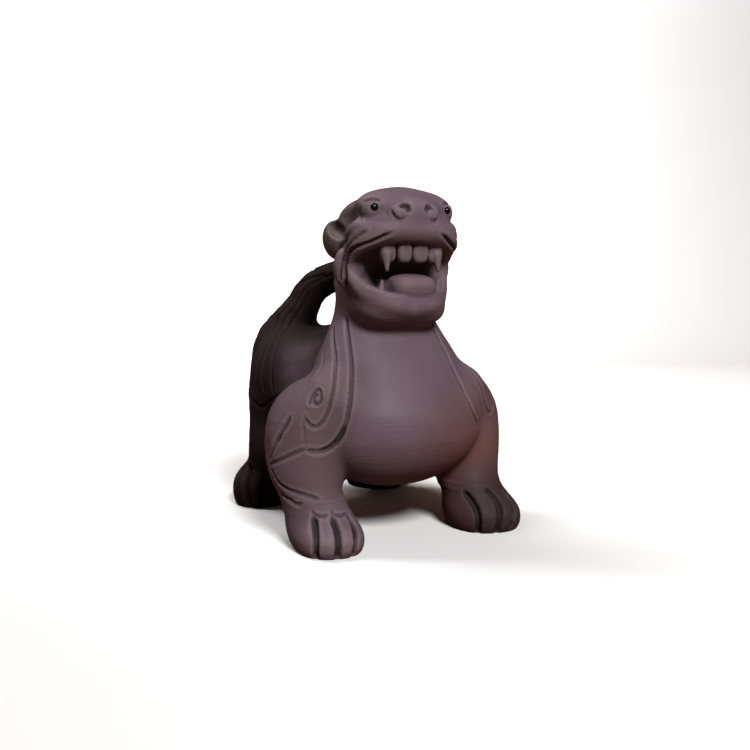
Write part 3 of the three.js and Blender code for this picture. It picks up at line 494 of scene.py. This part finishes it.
def carving_tree():
    """Nodes that press a groove into a surface along the edges of another object."""
    # The rim's middle and half width count from the line in half widths of the cut
    rim_middle, rim_half, least_cut = 1.5, 0.8, 0.05 * MM
    tree = bpy.data.node_groups.new("cut along lines", "GeometryNodeTree")
    kinds = {"Geometry": "Geometry", "Lines": "Object", "Width": "Float", "Depth": "Float", "Rim": "Float",
             "Clay": "Material"}
    for name, kind in kinds.items():
        tree.interface.new_socket(name, in_out="INPUT", socket_type="NodeSocket" + kind)
    tree.interface.new_socket("Geometry", in_out="OUTPUT", socket_type="NodeSocketGeometry")
    node, link = tree.nodes.new, tree.links.new

    def math_node(operation, *values):
        made = node("ShaderNodeMath")
        made.operation = operation
        for socket, value in zip(made.inputs, values):
            if isinstance(value, bpy.types.NodeSocket):
                link(value, socket)
            else:
                socket.default_value = value
        return made.outputs[0]

    def hump(across):
        return math_node("MAXIMUM", math_node("SUBTRACT", 1, math_node("MULTIPLY", across, across)), 0)

    given = node("NodeGroupInput").outputs
    lines = node("GeometryNodeObjectInfo")
    lines.transform_space = "RELATIVE"
    link(given["Lines"], lines.inputs["Object"])
    nearest = node("GeometryNodeProximity")
    nearest.target_element = "EDGES"
    link(lines.outputs["Geometry"], nearest.inputs[0])
    share = math_node("DIVIDE", nearest.outputs["Distance"], math_node("MULTIPLY", given["Width"], 0.5))
    before = node("GeometryNodeInputNamedAttribute")
    before.data_type = "FLOAT"
    before.inputs["Name"].default_value = "carved"
    pressing = math_node("MULTIPLY", hump(share), given["Depth"])
    deepest = math_node("MAXIMUM", before.outputs[0], pressing)
    beside = math_node("DIVIDE", math_node("SUBTRACT", share, rim_middle), rim_half)
    untouched = math_node("LESS_THAN", before.outputs[0], least_cut)
    raised = math_node("MULTIPLY", math_node("MULTIPLY", hump(beside), given["Rim"]), untouched)
    extra = math_node("SUBTRACT", math_node("SUBTRACT", deepest, before.outputs[0]), raised)
    captured = node("GeometryNodeCaptureAttribute")
    link(given["Geometry"], captured.inputs["Geometry"])
    for name, value in (("Extra", extra), ("Deepest", deepest)):
        captured.capture_items.new("FLOAT", name)
        link(value, captured.inputs[name])
    away = node("ShaderNodeVectorMath")
    away.operation = "SCALE"
    link(node("GeometryNodeInputNormal").outputs[0], away.inputs[0])
    link(math_node("MULTIPLY", captured.outputs["Extra"], -1), away.inputs["Scale"])
    pressed = node("GeometryNodeSetPosition")
    link(captured.outputs["Geometry"], pressed.inputs["Geometry"])
    link(away.outputs[0], pressed.inputs["Offset"])
    marked = node("GeometryNodeStoreNamedAttribute")
    marked.data_type, marked.domain = "FLOAT", "POINT"
    marked.inputs["Name"].default_value = "carved"
    link(pressed.outputs[0], marked.inputs["Geometry"])
    stored = next(socket for socket in marked.inputs if socket.name == "Value" and socket.enabled)
    link(captured.outputs["Deepest"], stored)
    whole = node("GeometryNodeRealizeInstances")
    link(marked.outputs[0], whole.inputs[0])
    painted = node("GeometryNodeSetMaterial")
    link(whole.outputs[0], painted.inputs["Geometry"])
    link(given["Clay"], painted.inputs["Material"])
    link(painted.outputs[0], node("NodeGroupOutput").inputs[0])
    return tree


# The grain of fired clay: cloudy tone, fine sand, level streaks from wiping, and specks
grain = bpy.data.node_groups.new("fired clay grain", "ShaderNodeTree")
node, link = grain.nodes.new, grain.links.new
for name, value in (("Cloud size", 60), ("Sand size", 900), ("Wiping size", 130), ("Speck size", 500)):
    grain.interface.new_socket(name, in_out="INPUT", socket_type="NodeSocketFloat").default_value = value
for name in ("Cloud", "Sand", "Wiping", "Speck"):
    grain.interface.new_socket(name, in_out="OUTPUT", socket_type="NodeSocketFloat")
given, out = node("NodeGroupInput").outputs, node("NodeGroupOutput").inputs
where = node("ShaderNodeTexCoord").outputs["Object"]
streaks = node("ShaderNodeVectorMath")
streaks.operation = "MULTIPLY"
streaks.inputs[1].default_value = (1, 1, 12)
link(where, streaks.inputs[0])
for name, detail, place in (("Cloud", 4, where), ("Sand", 3, where), ("Wiping", 2, streaks.outputs[0])):
    noise = node("ShaderNodeTexNoise")
    noise.inputs["Detail"].default_value = detail
    link(place, noise.inputs["Vector"])
    link(given[name + " size"], noise.inputs["Scale"])
    link(noise.outputs["Fac"], out[name])
cells = node("ShaderNodeTexVoronoi")
link(where, cells.inputs["Vector"])
link(given["Speck size"], cells.inputs["Scale"])
dots = node("ShaderNodeMapRange")
dots.inputs["From Min"].default_value = 0.13
dots.inputs["From Max"].default_value = 0.05
link(cells.outputs["Distance"], dots.inputs["Value"])
link(dots.outputs[0], out["Speck"])

clay = bpy.data.materials.new("purple clay")
clay.use_nodes = True
node, link = clay.node_tree.nodes.new, clay.node_tree.links.new
shader = clay.node_tree.nodes["Principled BSDF"]
shader.inputs["IOR"].default_value = 1.45
texture = node("ShaderNodeGroup")
texture.node_tree = grain


def blend_colour(first, second, factor):
    """The first colour turned into the second one by a mask."""
    mix = node("ShaderNodeMix")
    mix.data_type = "RGBA"
    # The node has sockets of the same names for each kind of value, and these are the ones for colours
    for place, value in ((0, factor), (6, first), (7, second)):
        if isinstance(value, bpy.types.NodeSocket):
            link(value, mix.inputs[place])
        else:
            mix.inputs[place].default_value = value
    return mix.outputs[2]


def span(value, from_low, from_high, to_low, to_high):
    """A mask moved from one range of values to another."""
    made = node("ShaderNodeMapRange")
    link(value, made.inputs["Value"])
    ends = (("From Min", from_low), ("From Max", from_high), ("To Min", to_low), ("To Max", to_high))
    for name, end in ends:
        made.inputs[name].default_value = end
    return made.outputs[0]


def fade(place, start, end, first=0, last=1):
    """A soft change from the first value to the last between two places on the body."""
    made = span(place, start, end, first, last)
    made.node.interpolation_type = "SMOOTHSTEP"
    return made


def both(first, second):
    """A mask that is full where both masks are."""
    made = node("ShaderNodeMath")
    made.operation = "MULTIPLY"
    link(first, made.inputs[0])
    link(second, made.inputs[1])
    return made.outputs[0]


def measured(name):
    """The skin's own measure of a name."""
    made = node("ShaderNodeAttribute")
    made.attribute_name = name
    return made.outputs["Fac"]


FIRED_CLAY = (0.13, 0.086, 0.109, 1)
CLOUDED_CLAY = (0.102, 0.065, 0.077, 1)
RUBBED_RIDGE = (0.21, 0.16, 0.17, 1)
CHIPPED_RIDGE = (0.42, 0.36, 0.34, 1)
# Painted warm light reflected from below, for the lower belly and the left arm
RED_BELLY_PAINTED_REFLECTION = (0.15, 0.06, 0.045, 1)
BROWN_EAR = (0.08, 0.06, 0.042, 1)
# Painted shade for the left paw
LEFT_PAW_PAINTED_SHADE = (0.022, 0.015, 0.017, 1)
# The rear's own darker clay, deepened with painted shade
DARK_REAR_AND_PAINTED_SHADE = (0.011, 0.007, 0.007, 1)
# Painted shade for the bottoms of the cut lines
GROOVE_PAINTED_SHADE = (0.016, 0.01, 0.011, 1)
cloud, worn, carved = texture.outputs["Cloud"], measured("worn"), measured("carved")
colour = blend_colour(FIRED_CLAY, CLOUDED_CLAY, span(cloud, 0.35, 0.65, 0, 1))
colour = blend_colour(colour, RUBBED_RIDGE, span(worn, 0.3, 1, 0, 0.35))
colour = blend_colour(colour, CHIPPED_RIDGE, both(texture.outputs["Speck"], span(worn, 0.5, 0.9, 0, 0.25)))

# Belly and left arm are redder low down with painted warm light reflected from below, and the ears browner.
# The left paw is darker with painted shade, and the rear darkest, partly its own darker clay and partly
# painted shade. The borders towards the rear wander with the clouds.
split = node("ShaderNodeSeparateXYZ")
link(node("ShaderNodeTexCoord").outputs["Object"], split.inputs[0])
drift = node("ShaderNodeMath")
drift.operation = "MULTIPLY_ADD"
link(cloud, drift.inputs[0])
drift.inputs[1].default_value = 0.02
link(split.outputs["Y"], drift.inputs[2])
x, y, z = split.outputs["X"], drift.outputs[0], split.outputs["Z"]
# Painted warm reflection low on the belly and the left arm
colour = blend_colour(colour, RED_BELLY_PAINTED_REFLECTION, both(fade(x, -0.01, 0.017, last=0.7), fade(z, 0.044, 0.018)))
colour = blend_colour(colour, BROWN_EAR, both(fade(y, -0.024, -0.006, last=0.7), fade(z, 0.06, 0.072)))
# Painted shade on the left paw and the low forearm
colour = blend_colour(colour, LEFT_PAW_PAINTED_SHADE, both(fade(x, 0.008, 0.018, last=0.85), fade(z, 0.024, 0.01)))
# Darker rear: partly the clay's own tone, partly painted shade
colour = blend_colour(colour, DARK_REAR_AND_PAINTED_SHADE, fade(y, -0.007, 0.015, last=0.9))
# Painted shade, darker where the lines are cut deeper
colour = blend_colour(colour, GROOVE_PAINTED_SHADE, span(carved, 0.0001, 0.001, 0, 0.88))
link(colour, shader.inputs["Base Color"])
link(span(cloud, 0.3, 0.7, 0.5, 0.68), shader.inputs["Roughness"])
link(fade(y, -0.007, 0.015, first=0.2, last=0.03), shader.inputs["Specular IOR Level"])
bump = node("ShaderNodeBump")
bump.inputs["Distance"].default_value = 0.00012
bump.inputs["Strength"].default_value = 0.5
relief = node("ShaderNodeMath")
relief.operation = "ADD"
link(texture.outputs["Sand"], relief.inputs[0])
link(texture.outputs["Wiping"], relief.inputs[1])
link(relief.outputs[0], bump.inputs["Height"])
link(bump.outputs["Normal"], shader.inputs["Normal"])

body_mesh.attributes.new("carved", "FLOAT", "POINT")
carving = carving_tree()
sockets = {item.name: item.identifier for item in carving.interface.items_tree if item.in_out == "INPUT"}
for size, paths in drawn.items():
    line_mesh = bpy.data.meshes.new("drawn lines")
    starts = np.cumsum([0] + [len(path) for path in paths])
    edges = [(start + n, start + n + 1) for start, path in zip(starts, paths) for n in range(len(path) - 1)]
    line_mesh.from_pydata((np.vstack(paths) * MM).tolist(), edges, [])
    line_object = bpy.data.objects.new("drawn lines", line_mesh)
    bpy.context.collection.objects.link(line_object)
    tool = body.modifiers.new("cut", "NODES")
    tool.node_group = carving
    tool[sockets["Lines"]] = line_object
    tool[sockets["Width"]] = size.width * MM
    tool[sockets["Depth"]] = size.depth * MM
    tool[sockets["Rim"]] = size.rim * MM
    tool[sockets["Clay"]] = clay


def made_mesh(made):
    """The object's mesh with its modifiers carried out."""
    bpy.context.view_layer.update()
    return bpy.data.meshes.new_from_object(made.evaluated_get(bpy.context.evaluated_depsgraph_get()))


body.data = made_mesh(body)
body.modifiers.clear()
for lines in [thing for thing in bpy.data.objects if thing.name.startswith("drawn lines")]:
    bpy.data.objects.remove(lines)


def numbers(owner, name, width):
    """One of the skin's rows of numbers as an array."""
    values = np.empty(len(owner) * width, np.int64 if name == "vertices" else np.float64)
    owner.foreach_get(name, values)
    return values.reshape(-1, width)


# Wear: ridges stand proud of a smoothed skin, and hands have rubbed them paler, but not the soles
SMOOTHING_ROUNDS, FULLY_WORN, SOLE = 8, 0.12, 1
edges, place = numbers(body.data.edges, "vertices", 2), numbers(body.data.vertices, "co", 3)
count = len(place)
degree = np.bincount(edges.ravel(), minlength=count)
smooth = place.copy()
for _ in range(SMOOTHING_ROUNDS):
    for axis, column in enumerate(smooth.T.copy()):
        total = np.bincount(edges[:, 0], column[edges[:, 1]], count)
        total += np.bincount(edges[:, 1], column[edges[:, 0]], count)
        smooth[:, axis] = total / degree
proud = ((place - smooth) * numbers(body.data.vertices, "normal", 3)).sum(1) / (FULLY_WORN * MM)
wear = np.clip(proud, 0, 1) * np.clip(place[:, 2] / MM - SOLE, 0, 1)
worn_layer = body.data.attributes.new("worn", "FLOAT", "POINT")
worn_layer.data.foreach_set("value", wear.astype(np.float32))

# Thin the skin to the triangles that the shape needs, and set it in the part's frame
TRIANGLES = 192000
thin = body.modifiers.new("thin", "DECIMATE")
thin.use_collapse_triangulate = True
thin.ratio = min(1, TRIANGLES / (2 * len(body.data.polygons)))
body.data = made_mesh(body)
body.modifiers.clear()
place = numbers(body.data.vertices, "co", 3) - np.array([*MIDDLE, 0]) * MM
low, high = (np.array(corner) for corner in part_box("figure"))
body.data.vertices.foreach_set("co", np.clip(place, low, high).ravel())
body.data.update()
body.data.polygons.foreach_set("use_smooth", [True] * len(body.data.polygons))
body.data.materials.clear()
body.data.materials.append(clay)
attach(body, "root")
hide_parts("figure")

# Eye beads
# Two small, polished balls of black glass. They are pressed into round sockets under the brows, by about a
# third of their depth.
bead = bpy.data.materials.new("black bead")
bead.use_nodes = True
node, link = bead.node_tree.nodes.new, bead.node_tree.links.new
shader = bead.node_tree.nodes["Principled BSDF"]
tint = node("ShaderNodeTexNoise")
tint.inputs["Scale"].default_value = 700
link(node("ShaderNodeTexCoord").outputs["Object"], tint.inputs["Vector"])
BLACK_GLASS, BROWNISH_GLASS = (0.002, 0.002, 0.002, 1), (0.006, 0.005, 0.006, 1)
link(blend_colour(BLACK_GLASS, BROWNISH_GLASS, tint.outputs["Fac"]), shader.inputs["Base Color"])
shader.inputs["Roughness"].default_value = 0.12
shader.inputs["Specular IOR Level"].default_value = 0.3
for name in ("eye_right", "eye_left"):
    low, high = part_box(name)
    middle, radius = (low + high) / 2, min(high - low) / 2
    bpy.ops.mesh.primitive_uv_sphere_add(segments=32, ring_count=20, radius=radius, location=middle)
    ball = bpy.context.object
    ball.data.transform(Matrix.Translation(ball.location))
    ball.location = (0, 0, 0)
    ball.name = name + "_bead"
    ball.data.polygons.foreach_set("use_smooth", [True] * len(ball.data.polygons))
    ball.data.materials.append(bead)
    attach(ball, "root")
    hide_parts(name)

# Table
# A wide sheet of matt white board, on which the figure stands loose. It lies flat in front and curves up far
# behind.
BOARD_HALF, BOARD_FRONT, BOARD_TOP = 2.5, -1.2, 2.2
CURVE_START, CURVE_RADIUS, BOARD_TURN = 0.5, 0.4, 27.2
profile = [(BOARD_FRONT, 0), (CURVE_START, 0)]
for angle in np.linspace(0.1, math.pi / 2, 12):
    away, up = CURVE_RADIUS * math.sin(angle), CURVE_RADIUS - CURVE_RADIUS * math.cos(angle)
    profile.append((CURVE_START + away, up))
profile.append((CURVE_START + CURVE_RADIUS, BOARD_TOP))
points = [(x, y, z) for y, z in profile for x in (-BOARD_HALF, BOARD_HALF)]
board = bpy.data.meshes.new("board")
board.from_pydata(points, [], [(2 * n, 2 * n + 1, 2 * n + 3, 2 * n + 2) for n in range(len(profile) - 1)])
floor = bpy.data.objects.new("board", board)
bpy.context.collection.objects.link(floor)
floor.rotation_euler = (0, 0, -math.radians(BOARD_TURN))
white = bpy.data.materials.new("white board")
white.use_nodes = True
node, link = white.node_tree.nodes.new, white.node_tree.links.new
shader = white.node_tree.nodes["Principled BSDF"]
# The photo's ground is blank white, yet hardly any light comes back from it
WHITE_TO_CAMERA, DARK_TO_LIGHT = (0.94, 0.94, 0.94, 1), (0.16, 0.07, 0.045, 1)
seen = node("ShaderNodeLightPath").outputs["Is Camera Ray"]
link(blend_colour(DARK_TO_LIGHT, WHITE_TO_CAMERA, seen), shader.inputs["Base Color"])
shader.inputs["Roughness"].default_value = 0.9
board.materials.append(white)
board.polygons.foreach_set("use_smooth", [True] * len(board.polygons))


# Light and camera
# One soft window stands high in front of the figure. A lamp behind it lights the board that curves up there,
# and a dim, warm light comes from all round.
def soft_light(name, place, size, power, aim):
    """A round, glowing disk that faces a point."""
    light = bpy.data.lights.new(name, "AREA")
    light.shape, light.size, light.energy = "DISK", size, power
    lamp = bpy.data.objects.new(name, light)
    bpy.context.collection.objects.link(lamp)
    lamp.location = place
    lamp.rotation_euler = (Vector(aim) - Vector(place)).to_track_quat("-Z", "Y").to_euler()


soft_light("high window", place=(-0.08, -0.66, 0.56), size=0.26, power=7.7, aim=(0, 0, 0.03))
soft_light("wall lamp", place=(-0.2, 0.28, 0.7), size=0.5, power=13, aim=(0.6, 1.2, 0.2))
world = bpy.data.worlds.new("room")
world.use_nodes = True
background = world.node_tree.nodes["Background"]
background.inputs["Color"].default_value = (1, 0.86, 0.8, 1)
background.inputs["Strength"].default_value = 0.04
bpy.context.scene.world = world

# Worked out from the pairs of eyes, nostrils, fangs and paws in the photo: millimetres, degrees and pixels
CAMERA_PLACE, CAMERA_TURN, CAMERA_DIP = (-101.299, -200.984, 63.441), 27.237, 5.770
FOCAL_LENGTH, PHOTO_WIDTH, SENSOR_WIDTH = 818, 750, 36
lens = bpy.data.cameras.new("camera")
lens.sensor_width = SENSOR_WIDTH
lens.lens = SENSOR_WIDTH * FOCAL_LENGTH / PHOTO_WIDTH
lens.clip_start, lens.clip_end = 0.005, 20
camera = bpy.data.objects.new("camera", lens)
bpy.context.collection.objects.link(camera)
camera.location = (Vector(CAMERA_PLACE) - Vector((*MIDDLE, 0))) * MM
camera.rotation_euler = (math.radians(90 - CAMERA_DIP), 0, -math.radians(CAMERA_TURN))
bpy.context.scene.camera = camera
bpy.context.scene.view_settings.view_transform = "Standard"
